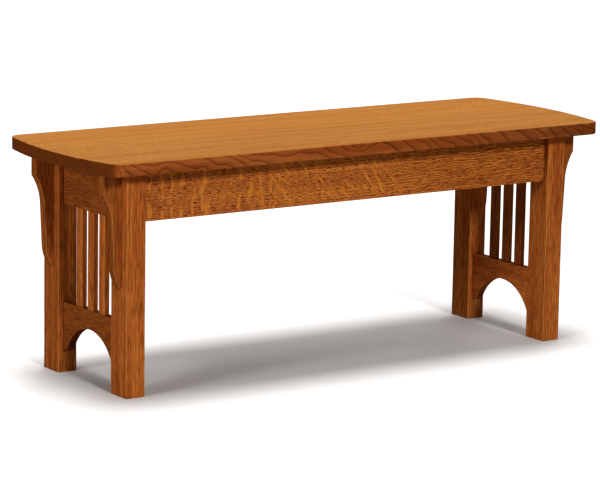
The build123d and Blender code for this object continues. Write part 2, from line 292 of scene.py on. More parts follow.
# %% Pores and streaks
# The levels of noise between which a pore or a streak goes from nothing to full
pore_levels = (0.46, 0.6)
streak_levels = (0.3, 0.7)
streak_size = (400 * mm, 20 * mm, 20 * mm)

# Pores: short dark dashes up the trunk, most of them in the early wood
pore = add(tree, VECTOR, {0: given["Place"], 1: given["Pore Size"]}, operation="DIVIDE")
pore = add(tree, NOISE, {"Vector": pore, "Scale": 1.0, "Detail": 1.0})
pore = add(tree, RANGE, {"Value": pore, "From Min": pore_levels[0], "From Max": pore_levels[1]}, **SOFT)
early = add(tree, RANGE, {"Value": ring, "From Min": given["Pores in Rings"], "From Max": 1.0})
late = add(tree, MATH, {0: 1.0, 1: given["Pores in Rings"]}, operation="SUBTRACT")
early = add(tree, MATH, {0: early, 1: late}, operation="MAXIMUM")
pore = add(tree, MATH, {0: pore, 1: early}, operation="MULTIPLY")

# Streaks of stain and heartwood, long up the trunk
streak = add(tree, VECTOR, {0: given["Place"], 1: streak_size}, operation="DIVIDE")
streak = add(tree, NOISE, {"Vector": streak, "Scale": 1.0, "Detail": 3.0})
streak = add(tree, RANGE, {
    "Value": streak,
    "From Min": streak_levels[0],
    "From Max": streak_levels[1],
}, **SOFT)
add(tree, "NodeGroupOutput", {"Ring": ring, "Line": line, "Pore": pore, "Streak": streak})
print("oak figure has", len(oak_figure.nodes), "nodes")

# %% [markdown]
# ## Ray flecks
#
# Oak has broad rays that run from the pith outward. A quartersawn board is cut along them, so they
# lie open in its face as hard pale ribbons that take little stain. How they lie depends on how the
# log was turned on the saw: across the board where the cut is true, slanting where it runs off, and
# in long thin waves where it leaves them. One group makes ribbons of any lie, over any stretch of
# the board, so that one board can change from one kind to the next as a real one does.

# %% Ray flecks, a shader group
ray_flecks = bpy.data.node_groups.new("ray flecks", "ShaderNodeTree")
open_inputs(ray_flecks, {
    "Place": POINT,
    "Along": NUMBER,
    "Lie": NUMBER,
    "Spacing": NUMBER,
    "Width": NUMBER,
    "Wander": NUMBER,
    "Wander Size": POINT,
    "Patch Size": POINT,
    "Cover": NUMBER,
    "From": NUMBER,
    "To": NUMBER,
    "Fade": NUMBER,
})
ray_flecks.interface.new_socket("Fleck", in_out="OUTPUT", socket_type=NUMBER)
tree = ray_flecks
given = add(tree, "NodeGroupInput").outputs
print("ray flecks has", len(ray_flecks.interface.items_tree), "values in and out")

# %% Ribbons, turned to their lie and swaying
# A ribbon's width is a share of the spacing, and its soft border ends at this many widths
half_spacing = 0.5
soft_border = 1.5

lie = {"Vector": given["Place"], "Angle": given["Lie"]}
lying = add(tree, "ShaderNodeVectorRotate", lie, rotation_type="Y_AXIS")
sway = add(tree, VECTOR, {0: lying, 1: given["Wander Size"]}, operation="DIVIDE")
sway = add(tree, NOISE, {"Vector": sway, "Scale": 1.0, "Detail": 2.0})
sway = add(tree, MATH, {0: sway, 1: given["Wander"]}, operation="MULTIPLY")
part = add(tree, "ShaderNodeSeparateXYZ", {0: lying})
ribbon = add(tree, MATH, {0: part.outputs["Z"], 1: given["Spacing"]}, operation="DIVIDE")
ribbon = add(tree, MATH, {0: ribbon, 1: sway}, operation="ADD")
ribbon = add(tree, MATH, {0: ribbon}, operation="FRACT")
ribbon = add(tree, MATH, {0: ribbon, 1: half_spacing}, operation="SUBTRACT")
ribbon = add(tree, MATH, {0: ribbon}, operation="ABSOLUTE")
outer = add(tree, MATH, {0: given["Width"], 1: soft_border}, operation="MULTIPLY")
ribbon = add(tree, RANGE, {
    "Value": ribbon,
    "From Min": given["Width"],
    "From Max": outer,
    "To Min": 1.0,
    "To Max": 0.0,
}, **SOFT)
print("ribbons take", len(tree.nodes), "nodes so far")

# %% Patches, and the stretch of the board that has this kind
# The level of noise that a patch starts from, at no cover and at full cover, and its soft border
level_at_none = 0.68
level_at_full = 0.32
patch_border = 0.08

# Ribbons break off where the patches end
patch = add(tree, VECTOR, {0: lying, 1: given["Patch Size"]}, operation="DIVIDE")
patch = add(tree, NOISE, {"Vector": patch, "Scale": 1.0, "Detail": 2.0})
bare = add(tree, RANGE, {"Value": given["Cover"], "To Min": level_at_none, "To Max": level_at_full})
full = add(tree, MATH, {0: bare, 1: patch_border}, operation="ADD")
patch = add(tree, RANGE, {"Value": patch, "From Min": bare, "From Max": full}, **SOFT)
fleck = add(tree, MATH, {0: ribbon, 1: patch}, operation="MULTIPLY")

for border, near, far in (("From", 0.0, 1.0), ("To", 1.0, 0.0)):
    start = add(tree, MATH, {0: given[border], 1: given["Fade"]}, operation="SUBTRACT")
    stop = add(tree, MATH, {0: given[border], 1: given["Fade"]}, operation="ADD")
    inside = add(tree, RANGE, {
        "Value": given["Along"],
        "From Min": start,
        "From Max": stop,
        "To Min": near,
        "To Max": far,
    }, **SOFT)
    fleck = add(tree, MATH, {0: fleck, 1: inside}, operation="MULTIPLY")
add(tree, "NodeGroupOutput", {"Fleck": fleck})
print("ray flecks has", len(ray_flecks.nodes), "nodes")

# %% [markdown]
# ## The stain and the varnish
#
# The wood is white oak under a reddish brown stain and a rubbed varnish. Stain sinks into the open
# pores and the early wood and hardly into the hard rays, so it darkens the first two and leaves the
# flecks pale. End grain drinks the most and goes darkest. A thin pale line along the eased edges is
# a painted highlight that stands in for the varnish's sheen there, with a little stain sanded off it
# too. A thin dark line in the inner corners is painted shade, found by ambient occlusion. The varnish
# is rubbed dull: it deepens the colour and gives the eye no shine. A gloss layer could stand for it,
# but on wide soft lamps that only puts a grey haze on the edges.

# %% Sizes of plain oak
GRAIN_TURN = {"X": (0, 0, 0), "Y": (0, 0, math.pi / 2), "Z": (0, -math.pi / 2, 0)}
AXIS = {"X": (1, 0, 0), "Y": (0, 1, 0), "Z": (0, 0, 1)}
# A knot, a lean or a border this many metres off leaves a piece alone
far_off = 9.0
# Real pores are a quarter of a millimetre wide, too fine to show, so they are drawn 1.5 mm wide.
# Line Width is a share of a ring, Lean is the rise of the rings per metre of trunk, and Pores in
# Rings is how much fainter the pores are outside the early wood, as a share.
PLAIN_FIGURE = {
    "Ring Width": 3.2 * mm,
    "Line Width": 0.12,
    "Wander": 10 * mm,
    "Wander Size": (350 * mm, 120 * mm, 120 * mm),
    "Knot Place": (far_off, far_off, far_off),
    "Knot Size": (30 * mm, 30 * mm, 30 * mm),
    "Knot Lift": 0.0,
    "Lean Start": far_off,
    "Lean": 0.0,
    "Pore Size": (30 * mm, 1.5 * mm, 1.5 * mm),
    "Pores in Rings": 0.4,
}
# Width is a share of the spacing, and Wander is how many spacings a ribbon sways. From and To are
# places in the piece's frame, along its grain.
PLAIN_FLECK = {
    "Lie": 0.0,
    "Spacing": 6 * mm,
    "Width": 0.1,
    "Wander": 2.0,
    "Wander Size": (50 * mm, 20 * mm, 20 * mm),
    "Patch Size": (30 * mm, 6 * mm, 6 * mm),
    "Cover": 0.5,
    "From": -far_off,
    "To": far_off,
    "Fade": 40 * mm,
}
print(len(PLAIN_FIGURE) + len(PLAIN_FLECK), "sizes of plain oak")

# %% Tints of the stain, each with its depth
# A depth is the share of its tint that shows, and a strength above 1 is a darker stain. On the
# legs, end rails and slats the strength is partly painted light and shade as well.
FRAME_STAIN = {
    "pale": "#D27630",
    "deep": "#B55C26",
    "rings": "#9A481D",
    "ring depth": 0.45,
    "lines": "#5A2A0F",
    "line depth": 0.0,
    "flecks": "#DE9040",
    "fleck depth": 0.6,
    "pores": "#54220B",
    "pore depth": 0.85,
    "end": "#5E2A10",
    # Painted highlight on the eased edges, with a little stain worn off there
    "worn_edge_highlight": "#E8A058",
    "worn edge highlight depth": 0.35,
    # Painted shade in the inner corners, as far as the reach
    "corners": "#2E1206",
    "corner shade depth": 0.6,
    "corner shade reach": 3 * mm,
    "strength": 1.0,
}
print(len(FRAME_STAIN), "tints and depths")


# %% Tints laid over each other, and masks for faces
def layered(tree, colour, layers):
    """Lay tints over a colour, each by its mask and depth."""
    for mask, depth, tint in layers:
        share = add(tree, MATH, {0: mask, 1: depth}, operation="MULTIPLY")
        colour = add(tree, "ShaderNodeMix", {
            "Factor": share,
            "A": colour,
            "B": linear(tint),
        }, data_type="RGBA")
    return colour


def facing(tree, normal, axis, low, high):
    """A mask that rises from 0 to 1 as the surface turns to face along an axis, either way."""
    turned = add(tree, VECTOR, {0: normal, 1: AXIS[axis]}, operation="DOT_PRODUCT").outputs["Value"]
    turned = add(tree, MATH, {0: turned}, operation="ABSOLUTE")
    return add(tree, RANGE, {"Value": turned, "From Min": low, "From Max": high}, **SOFT)


print("grain directions", sorted(GRAIN_TURN))

# %% The piece's place in its log
# Each piece is cut from its own stretch of the trunk, this many metres on from the one before
first_stretch = 0.7
stretch_length = 1.9


def log_place(centre, grain, pith, slope, stretch):
    """Where the log starts and how it is turned, for a piece whose centre is that far from the pith."""
    turn = Euler(GRAIN_TURN[grain]).to_matrix()
    turn = turn @ Euler((0, math.radians(slope[0]), math.radians(slope[1]))).to_matrix()
    origin = Vector(centre) + turn @ Vector((first_stretch + stretch_length * stretch, *pith))
    return origin, turn


def fleck_masks(tree, place, wood, grain, flecks, tint):
    """Each kind of fleck on the piece, as a mask with its depth and tint."""
    along = add(tree, VECTOR, {0: place, 1: AXIS[grain]}, operation="DOT_PRODUCT").outputs["Value"]
    masks = []
    for kind in flecks:
        ribbons = {**PLAIN_FLECK, **kind}
        depth = ribbons.pop("depth", 1.0)
        own_tint = ribbons.pop("tint", tint)
        sockets = {"Place": wood, "Along": along, **ribbons}
        group = add(tree, "ShaderNodeGroup", sockets, node_tree=ray_flecks)
        masks.append((group, depth, own_tint))
    return masks


print("stretches of the trunk are", stretch_length, "m apart")

# %% The stain on one face, and painted shade in the inner corners
end_depth = 0.85
# The share of open air round a spot, where the painted corner shade is at its darkest and where it ends
corner_shade_levels = (0.5, 0.9)
corner_shade_samples = 8


def stained(tree, tints, oak, end, masks):
    """The tints of one face, from the streaks up to the end grain."""
    return layered(tree, linear(tints["pale"]), (
        (oak["Streak"], 1.0, tints["deep"]),
        (oak["Ring"], tints["ring depth"], tints["rings"]),
        (oak["Pore"], tints["pore depth"], tints["pores"]),
        *((mask, depth * tints["fleck depth"], tint) for mask, depth, tint in masks),
        (oak["Line"], tints["line depth"], tints["lines"]),
        (end, end_depth, tints["end"]),
    ))


def painted_corner_shade(tree, reach):
    """A mask of painted shade in the inner corners, where ambient occlusion is low."""
    light = add(tree, "ShaderNodeAmbientOcclusion", {"Distance": reach}, samples=corner_shade_samples)
    return add(tree, RANGE, {
        "Value": light.outputs["AO"],
        "From Min": corner_shade_levels[0],
        "From Max": corner_shade_levels[1],
        "To Min": 1.0,
        "To Max": 0.0,
    }, **SOFT)


print("end grain takes", end_depth, "of its tint")

# %% The dull varnish
pore_relief = 0.2 * mm
relief_strength = 0.3
# Between the pores, and in them
varnish_roughness = (0.46, 0.62)
varnish_ior = 1.5


def varnished(tree, colour, pore):
    """Rubbed varnish over the stain: no mirror gloss, dull in the pores, which stay open."""
    height = add(tree, MATH, {0: pore, 1: -1.0}, operation="MULTIPLY")
    relief = add(tree, "ShaderNodeBump", {
        "Strength": relief_strength,
        "Distance": pore_relief,
        "Height": height,
    })
    dull = add(tree, RANGE, {
        "Value": pore,
        "To Min": varnish_roughness[0],
        "To Max": varnish_roughness[1],
    })
    varnish = add(tree, "ShaderNodeBsdfPrincipled", {
        "Base Color": colour,
        "Roughness": dull,
        "IOR": varnish_ior,
        "Specular IOR Level": 0.0,
        "Normal": relief,
    })
    add(tree, "ShaderNodeOutputMaterial", {"Surface": varnish})


print("varnish roughness", varnish_roughness)

# %% One oak finish for any piece
# How squarely a surface faces along an axis, as a cosine, where each mask starts and is full
end_cosines = (0.55, 0.95)
flat_cosines = (0.9, 0.985)
side_cosines = (0.12, 0.35)
top_cosines = (0.55, 0.8)


def stained_oak(
    name, centre, grain, pith, face,
    slope=(0, 0), stretch=0, figure=None, stain=None, edge=None, flecks=(),
):
    """Stained oak with its grain along one axis, and painted highlights on worn edges round faces along
    another.

    pith is how far the log's pith lies from the centre, across the grain and in metres, slope is how
    far the grain runs off, in degrees, and stretch is the part of the trunk. figure and stain hold
    what differs from plain oak, and edge has the tints of a board whose edges are darker.
    """
    sizes = {**PLAIN_FIGURE, **(figure or {})}
    tints = {**FRAME_STAIN, **(stain or {})}
    made = bpy.data.materials.new(name)
    made.use_nodes = True
    tree = made.node_tree
    tree.nodes.clear()

    origin, turn = log_place(centre, grain, pith, slope, stretch)
    into_log = turn.inverted()
    sizes["Knot Place"] = into_log @ (Vector(sizes["Knot Place"]) - origin)
    sizes["Lean Start"] = (into_log @ (Vector((sizes["Lean Start"], *centre[1:])) - origin)).x

    surface = add(tree, "ShaderNodeTexCoord").outputs
    wood = add(tree, "ShaderNodeMapping", {
        "Vector": surface["Object"],
        "Location": origin,
        "Rotation": turn.to_euler(),
    }, vector_type="TEXTURE")
    oak = add(tree, "ShaderNodeGroup", {"Place": wood, **sizes}, node_tree=oak_figure).outputs
    masks = fleck_masks(tree, surface["Object"], wood, grain, flecks, tints["flecks"])

    end = facing(tree, surface["Normal"], grain, *end_cosines)
    flat = facing(tree, surface["Normal"], face, *flat_cosines)
    side = facing(tree, surface["Normal"], face, *side_cosines)
    # The eased edges, where the painted highlight goes over the worn stain
    worn_edge_highlight = add(tree, MATH, {0: side, 1: flat}, operation="SUBTRACT")

    colour = stained(tree, tints, oak, end, masks)
    if edge:
        colour = add(tree, "ShaderNodeMix", {
            "Factor": facing(tree, surface["Normal"], face, *top_cosines),
            "A": stained(tree, {**tints, **edge}, oak, end, masks),
            "B": colour,
        }, data_type="RGBA")
    # A painted highlight on the eased edges, and painted shade in the inner corners
    colour = layered(tree, colour, (
        (worn_edge_highlight, tints["worn edge highlight depth"], tints["worn_edge_highlight"]),
        (painted_corner_shade(tree, tints["corner shade reach"]), tints["corner shade depth"], tints["corners"]),
    ))
    colour = add(tree, VECTOR, {0: colour, "Scale": 1 / tints["strength"]}, operation="SCALE")
    varnished(tree, colour, oak["Pore"])
    return made


print("one finish for every oak piece")

# %% [markdown]
# ## Pieces with eased edges
#
# A maker takes the sharpness off every edge with sandpaper, and the light on those eased edges is
# what tells the eye that the wood is real. The frame's pieces have the small rounds and chamfers,
# but as loose facets. A merged copy of each, with normals that lean over the eased edges and stay
# flat on the faces, shows them as the soft bands that they are.

# %% Smooth shading that keeps the faces flat
eased_angle = math.radians(50)


def bake_shape(piece):
    """Keep what the piece's modifiers make as its plain mesh."""
    ready = piece.evaluated_get(bpy.context.evaluated_depsgraph_get())
    shape = bpy.data.meshes.new_from_object(ready)
    piece.modifiers.clear()
    piece.data = shape


def flat_faces(piece):
    """Round the shading over the eased edges and keep it flat on the faces."""
    piece.data.shade_smooth()
    piece.data.set_sharp_from_angle(angle=eased_angle)
    piece.modifiers.new("flat faces", "WEIGHTED_NORMAL").keep_sharp = True
    bake_shape(piece)


print("eased edges up to", round(math.degrees(eased_angle)), "degrees are shaded round")

# %% A merged copy of a frame piece
same_plane_angle = math.radians(0.05)
same_spot = 0.001 * mm


def enter(piece, slot, *replaced):
    """Hang a finished piece on the root and hide the frame pieces that it stands for."""
    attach(piece, "root")
    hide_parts(*replaced)


def eased_copy(name, material, slot):
    """Copy a frame piece, with its facets joined and its eased edges shaded round."""
    mesh = nodes[name].data.copy()
    mesh.name = name
    work = bmesh.new()
    work.from_mesh(mesh)
    bmesh.ops.remove_doubles(work, verts=work.verts, dist=same_spot)
    bmesh.ops.dissolve_limit(work, verts=work.verts, edges=work.edges, angle_limit=same_plane_angle)
    work.to_mesh(mesh)
    work.free()
    mesh.materials.clear()
    mesh.materials.append(material)
    piece = bpy.data.objects.new(f"{name}_oak", mesh)
    bpy.context.scene.collection.objects.link(piece)
    flat_faces(piece)
    enter(piece, slot, name)


def middle(*names):
    """The centre of the box round some frame pieces."""
    boxes = [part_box(name) for name in names]
    low = Vector([min(box[0][axis] for box in boxes) for axis in range(3)])
    high = Vector([max(box[1][axis] for box in boxes) for axis in range(3)])
    return (low + high) / 2


# The stretch of the trunk that each group of pieces starts from, so that no two groups look alike
GROUP_START = {
    "seat": 0,
    "aprons": 5,
    "legs": 8,
    "corbels": 12,
    "rails": 17,
    "slats": 20,
    "bare": 30,
    "dowels": 40,
}
print(len(GROUP_START), "groups of wooden pieces")

# %% [markdown]
# ## The seat
#
# Four boards are glued edge to edge. The top is sanded fine and takes the stain evenly, so it looks
# plain and golden. The edges are left coarser and go a deep red brown. The front board's long edge
# cuts along the rings at a shallow angle, which draws slanting lines, and an eye where a pin knot
# lifted the rings. Every board comes from another log, so each has its own figure and shade. The
# edges get darker towards the right end, which may be stain or the light of the photograph. Fine
# sanding leaves the pores as small even specks. They are drawn 2.4 mm wide, because real ones would
# not show from here.

# %% Tints and figure of the seat
SEAT_TOP = {
    "pale": "#BC803F",
    "deep": "#B27236",
    "rings": "#A2652C",
    "ring depth": 0.08,
    "pores": "#86502A",
    "pore depth": 0.42,
    "fleck depth": 0.0,
    "end": "#683110",
    "worn edge highlight depth": 0.0,
}
SEAT_EDGE = {
    "pale": "#C46C34",
    "deep": "#A24F1F",
    "rings": "#7E3A14",
    "ring depth": 0.45,
    "lines": "#4A1E08",
    "line depth": 0.6,
    "pores": "#6A3010",
    "pore depth": 0.2,
    "fleck depth": 1.0,
}
SEAT_PORES = {"Pore Size": (10 * mm, 2.4 * mm, 2.4 * mm), "Pores in Rings": 0.2}
# The knot's place is in the frame, near the middle of the front edge
FRONT_EDGE = {
    "Ring Width": 2.6 * mm,
    "Line Width": 0.1,
    "Wander": 10 * mm,
    "Wander Size": (110 * mm, 150 * mm, 150 * mm),
    "Knot Place": (-38 * mm, -200 * mm, 451 * mm),
    "Knot Size": (45 * mm, 60 * mm, 14 * mm),
    "Knot Lift": 7.5 * mm,
    "Lean Start": 0.0,
    "Lean": 0.04,
}
# A ribbon wider than its spacing, at full cover, is one broad cloud of darker wood
CLOUD = {"Width": 1.0, "Cover": 3.0, "Fade": 300 * mm}
DARKER_END = ({**CLOUD, "From": 300 * mm, "tint": "#4A1C06", "depth": 0.6},)
print(len(SEAT_TOP), "tints and depths on the top,", len(SEAT_EDGE), "on the edges")

# %% Seat boards
seat_logs = (
    # name, pith in metres, slope in degrees, strength of the stain, and what else differs
    ("seat_board_1", (0.12, -0.02), (0, 1.7), 1.05, FRONT_EDGE),
    ("seat_board_2", (-0.11, -0.09), (0.4, 0.5), 1.03, {}),
    ("seat_board_3", (0.13, 0.11), (-0.3, 0.6), 0.98, {}),
    ("seat_board_4", (-0.12, -0.07), (0.5, -0.4), 0.96, {}),
)
for order, (name, pith, slope, strength, figure) in enumerate(seat_logs):
    wood = stained_oak(
        f"satin oak {name}", middle(name), "X", pith, "Z",
        slope=slope,
        stretch=GROUP_START["seat"] + order,
        figure={**SEAT_PORES, **figure},
        stain={**SEAT_TOP, "strength": strength},
        edge=SEAT_EDGE,
        flecks=DARKER_END,
    )
    eased_copy(name, wood, "seat_oak")
print(len(seat_logs), "boards in the seat")

# %% [markdown]
# ## Aprons
#
# The aprons are quartersawn, with their faces along the rays, so they carry the large pale flecks
# that this kind of furniture is known for: ribbons and blobs that stand upright at the left, slant
# in the middle, and run out in thin waves at the right. Towards the right the ground is darker too,
# which may be stain or the light of the photograph. The pores lie in rows along the board, one row
# to a ring.

# %% Figure and stain of the aprons
APRON_FIGURE = {
    "Ring Width": 5.5 * mm,
    "Wander": 9 * mm,
    "Wander Size": (140 * mm, 50 * mm, 50 * mm),
    "Pore Size": (11 * mm, 1.5 * mm, 1.5 * mm),
    "Pores in Rings": 0.35,
}
APRON_STAIN = {
    "pale": "#F28D3B",
    "deep": "#D07034",
    "rings": "#96481A",
    "ring depth": 0.5,
    "pores": "#35120A",
    "pore depth": 1.0,
    "flecks": "#F09236",
    "fleck depth": 0.7,
    # A wider reach paints shade along the apron's top, under the seat's overhang, and beside the legs
    "corner shade reach": 8 * mm,
}
print(len(APRON_FIGURE), "sizes and", len(APRON_STAIN), "tints and depths")

# %% The kinds of fleck on an apron, each with the stretch along X that has it
UPRIGHT = {"Lie": math.radians(90), "Fade": 50 * mm}
SLANTING = {"Lie": math.radians(-50), "To": 120 * mm, "Fade": 70 * mm}
LYING = {"Lie": math.radians(3), "From": 40 * mm, "Fade": 80 * mm}
dark_ground = {**CLOUD, "From": 120 * mm, "tint": "#7A3410", "depth": 0.75}
large_blobs = {
    **UPRIGHT,
    "Spacing": 26 * mm,
    "Width": 0.11,
    "Wander": 2.1,
    "Wander Size": (50 * mm, 40 * mm, 40 * mm),
    "Patch Size": (35 * mm, 30 * mm, 30 * mm),
    "Cover": 0.62,
    "To": -160 * mm,
    "depth": 0.9,
}
fine_ribbons = {
    **UPRIGHT,
    "Spacing": 5 * mm,
    "Width": 0.16,
    "Wander": 10.8,
    "Wander Size": (50 * mm, 40 * mm, 40 * mm),
    "Patch Size": (50 * mm, 20 * mm, 20 * mm),
    "Cover": 0.6,
    "To": -100 * mm,
    "depth": 0.5,
}
wide_slants = {
    **SLANTING,
    "Spacing": 16 * mm,
    "Width": 0.09,
    "Wander": 3.0,
    "Wander Size": (70 * mm, 40 * mm, 40 * mm),
    "Patch Size": (35 * mm, 12 * mm, 12 * mm),
    "From": -220 * mm,
}
narrow_slants = {
    **SLANTING,
    "Spacing": 7 * mm,
    "Width": 0.12,
    "Wander": 2.6,
    "Wander Size": (50 * mm, 30 * mm, 30 * mm),
    "Patch Size": (20 * mm, 6 * mm, 6 * mm),
    "From": -200 * mm,
    "depth": 0.8,
}
thin_waves = {
    **LYING,
    "Spacing": 5 * mm,
    "Width": 0.12,
    "Wander": 5.0,
    "Wander Size": (70 * mm, 40 * mm, 40 * mm),
    "Cover": 0.7,
}
APRON_FLECKS = (dark_ground, large_blobs, fine_ribbons, wide_slants, narrow_slants, thin_waves)
print(len(APRON_FLECKS), "kinds of fleck on an apron")

# %% Aprons
apron_pith = (0.01, -0.35)
for order, name in enumerate(("apron_front", "apron_back")):
    wood = stained_oak(
        f"quartersawn oak {name}", middle(name), "X", apron_pith, "Y",
        stretch=GROUP_START["aprons"] + order,
        figure=APRON_FIGURE,
        stain=APRON_STAIN,
        flecks=APRON_FLECKS,
    )
    eased_copy(name, wood, "apron_oak")
print(order + 1, "aprons")

# %% [markdown]
# ## Legs, corbels and end rails
#
# Legs are riftsawn, with the rings at a slant to the faces, so both faces show straight fine pores
# and only a few small flecks. The end rails are quartersawn and nearly as plain. The grain runs up a
# leg and along a rail. Corbels are sawn from thin stock with the grain upright, which keeps their
# slim lower ends strong, and their thin rims carry the palest painted highlight. No two sticks of
# oak take the stain alike, so the legs and the rails have their own strengths. These were matched to
# the brightness of each piece in the photograph, so each strength is partly stain and partly painted
# light and shade.

# %% How each stick is cut and stained
corners = ("front_left", "front_right", "back_left", "back_right")
SMALL_FLECKS = ({
    "Spacing": 7 * mm,
    "Width": 0.1,
    "Wander": 2.2,
    "Patch Size": (35 * mm, 6 * mm, 6 * mm),
    "Cover": 0.4,
    "depth": 0.5,
},)
leg_pith = (0.16, 0.14)
leg_slope = (0.3, -0.2)
# Each leg's strength is partly stain and partly painted light and shade on that leg
leg_stain_and_shade = {"front_left": 0.84, "front_right": 0.95, "back_left": 0.98, "back_right": 0.86}
corbel_pith = (0.05, 0.22)
# The corbels' thin rims carry the strongest painted highlight
CORBEL_STAIN = {"strength": 1.25, "worn edge highlight depth": 0.95}
rail_pith = (0.02, -0.25)
# Partly stain and partly painted light and shade: darker on the left end, lighter on the right
rail_stain_and_shade = {"left": 1.35, "right": 0.75}
print("strengths of stain on the legs", sorted(leg_stain_and_shade.values()))

# %% Legs, each with its corbel
for order, corner in enumerate(corners):
    leg, corbel = f"leg_{corner}", f"corbel_{corner}"
    wood = stained_oak(
        f"riftsawn oak {leg}", middle(leg), "Z", leg_pith, "Y",
        slope=leg_slope,
        stretch=GROUP_START["legs"] + order,
        stain={"strength": leg_stain_and_shade[corner]},
        flecks=SMALL_FLECKS,
    )
    eased_copy(leg, wood, "frame_oak")
    wood = stained_oak(
        f"satin oak {corbel}", middle(corbel), "Z", corbel_pith, "Y",
        stretch=GROUP_START["corbels"] + order,
        stain=CORBEL_STAIN,
    )
    eased_copy(corbel, wood, "frame_oak")
print(2 * len(corners), "legs and corbels")

# %% End rails
for order, end in enumerate(("left", "right")):
    for level in ("top", "bottom"):
        name = f"end_rail_{level}_{end}"
        wood = stained_oak(
            f"quartersawn oak {name}", middle(name), "Y", rail_pith, "X",
            stretch=GROUP_START["rails"] + order,
            stain={"strength": rail_stain_and_shade[end]},
            flecks=SMALL_FLECKS,
        )
        eased_copy(name, wood, "frame_oak")
print(2 * len(rail_stain_and_shade), "end rails")

# %% [markdown]
# ## Slats
#
# Three equal slats stand in a row in each end. A row of equal pieces is a rule, so Geometry Nodes
# make it: a rounded rectangle swept up a line is the slat, a slimmer one is its tenons, and a line
# of points repeats it. Three merged copies would look the same, but here the row follows from its
# sizes, and the edges come out evenly round. Each row has its own strength of stain, matched to the
# photograph in the same way, so it too is partly painted light and shade.

# %% A tree for a row of slats, with its sizes as inputs
slat_row = bpy.data.node_groups.new("slat row", "GeometryNodeTree")
slat_row.is_modifier = True
slat_row.interface.new_socket("Geometry", in_out="OUTPUT", socket_type="NodeSocketGeometry")
slat_inputs = open_inputs(slat_row, {
    "Count": "NodeSocketInt",
    "First Place": POINT,
    "Pitch": NUMBER,
    "Width": NUMBER,
    "Thickness": NUMBER,
    "Edge Radius": NUMBER,
    "Length": NUMBER,
    "Tenon Width": NUMBER,
    "Tenon Thickness": NUMBER,
    "Tenon Length": NUMBER,
    "Material": "NodeSocketMaterial",
})
print("slat row has", len(slat_inputs), "inputs")

# %% The slat, its tenons and the row
edge_steps = 3

tree = slat_row
given = add(tree, "NodeGroupInput").outputs
sides = {"Width": given["Thickness"], "Height": given["Width"]}
outline = add(tree, "GeometryNodeCurvePrimitiveQuadrilateral", sides)
rounding = {"Curve": outline, "Radius": given["Edge Radius"]}
outline = add(tree, "GeometryNodeFilletCurve", rounding, mode="POLY")
outline.inputs["Count"].default_value = edge_steps
top = add(tree, "ShaderNodeCombineXYZ", {"Z": given["Length"]})
height = add(tree, "GeometryNodeCurvePrimitiveLine", {"End": top})
sweep = {"Curve": height, "Profile Curve": outline, "Fill Caps": True}
bar = add(tree, "GeometryNodeCurveToMesh", sweep)

under = add(tree, MATH, {0: given["Tenon Length"], 1: -1.0}, operation="MULTIPLY")
above = add(tree, MATH, {0: given["Length"], 1: given["Tenon Length"]}, operation="ADD")
low = add(tree, "ShaderNodeCombineXYZ", {"Z": under})
high = add(tree, "ShaderNodeCombineXYZ", {"Z": above})
core = add(tree, "GeometryNodeCurvePrimitiveLine", {"Start": low, "End": high})
sides = {"Width": given["Tenon Thickness"], "Height": given["Tenon Width"]}
tenon = add(tree, "GeometryNodeCurvePrimitiveQuadrilateral", sides)
sweep = {"Curve": core, "Profile Curve": tenon, "Fill Caps": True}
tenon = add(tree, "GeometryNodeCurveToMesh", sweep)

# Input 1 of a union takes any number of meshes
slat = add(tree, "GeometryNodeMeshBoolean", {1: [bar, tenon]}, operation="UNION", solver="EXACT")
step = add(tree, "ShaderNodeCombineXYZ", {"Y": given["Pitch"]})
places = add(tree, "GeometryNodeMeshLine", {
    "Count": given["Count"],
    "Start Location": given["First Place"],
    "Offset": step,
})
row = add(tree, "GeometryNodeInstanceOnPoints", {"Points": places, "Instance": slat})
row = add(tree, "GeometryNodeRealizeInstances", {"Geometry": row})
row = add(tree, "GeometryNodeSetMaterial", {"Geometry": row, "Material": given["Material"]})
add(tree, "NodeGroupOutput", {"Geometry": row})
print("slat row has", len(slat_row.nodes), "nodes")


# %% Run a tree on a mesh
def grown(name, tree, sockets, settings, mesh=None):
    """An object whose plain mesh is what a tree makes with those settings."""
    piece = bpy.data.objects.new(name, mesh or bpy.data.meshes.new(name))
    bpy.context.scene.collection.objects.link(piece)
    modifier = piece.modifiers.new(tree.name, "NODES")
    modifier.node_group = tree
    for label, value in settings.items():
        modifier[sockets[label]] = value
    bake_shape(piece)
    return piece


print("a tree's inputs are set by identifier, such as", slat_inputs["Count"], "for the count")

# %% Slats
slat_edge_radius = 0.8 * mm
slat_pith = (0.2, 0.03)
slat_slope = (0.2, 0.6)
